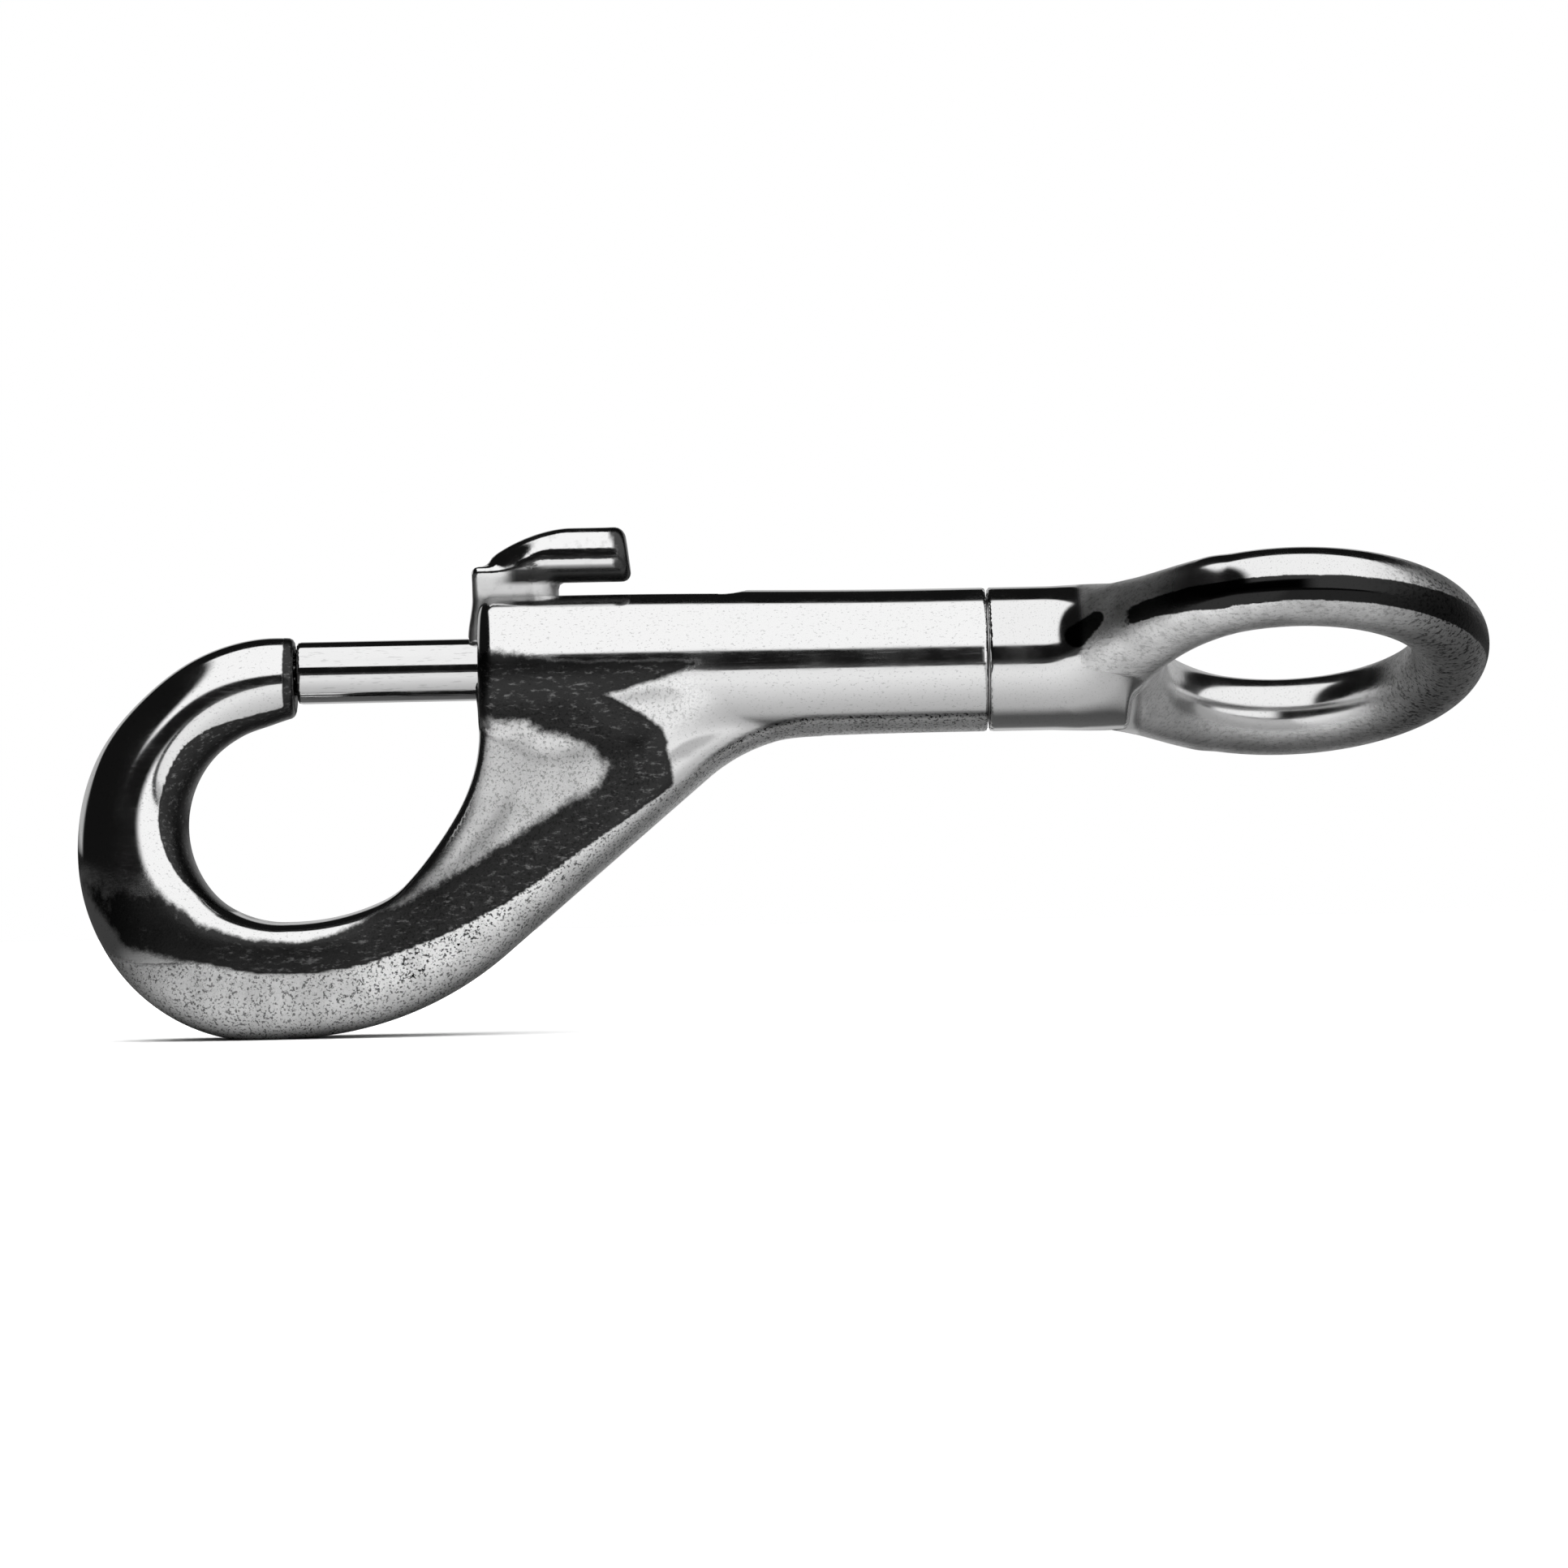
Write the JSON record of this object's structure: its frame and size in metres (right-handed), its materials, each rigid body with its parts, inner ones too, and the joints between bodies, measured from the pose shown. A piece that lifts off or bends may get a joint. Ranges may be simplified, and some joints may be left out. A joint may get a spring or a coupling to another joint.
{
  "type": "swivel eye bolt snap",
  "caption": "Stainless steel snap hook with a spring-loaded sliding bolt, a thumb lever in a slotted barrel, and a round eye that swivels on the end.",
  "frame": {"origin": "centre of the swivel eye's hole, on the barrel's axis", "axes": "+X along the barrel from the hook to the eye's crown, +Z towards the thumb lever with the hook in the XZ plane, +Y square to both"},
  "size_m": [0.1004, 0.0266, 0.0358],
  "materials": {
    "cast_body": "mirror-polished cast stainless steel, with a grainy cast skin left on the hook's underside",
    "turned_bolt": "turned and polished stainless steel",
    "pressed_lever": "polished stainless steel with rubbed edges",
    "forged_eye": "polished stainless steel, satin on the inside of the eye",
    "spring_wire": "drawn stainless spring wire",
    "washer_steel": "plain turned stainless steel",
    "bush_bronze": "plain turned bronze"
  },
  "bodies": {
    "barrel": {"hook_body": "cast_body", "swivel_bush": "bush_bronze", "spring_seat": "washer_steel", "bolt_spring": "spring_wire"},
    "gate": {"bolt": "turned_bolt", "thumb_lever": "pressed_lever"},
    "swivel": {"swivel_eye": "forged_eye", "thrust_washer": "washer_steel", "rivet_washer": "washer_steel"}
  },
  "joints": [
    {"name": "bolt_slide", "type": "slide", "parent": "barrel", "child": "gate", "axis": [1, 0, 0], "range_m": [0, 0.0128], "stiffness_N_per_m": 600, "springref_m": -0.006, "deforming": ["bolt_spring"]},
    {"name": "swivel_spin", "type": "hinge", "parent": "barrel", "child": "swivel", "pos_m": [-0.0236, 0, 0], "axis": [1, 0, 0], "continuous": true}
  ]
}
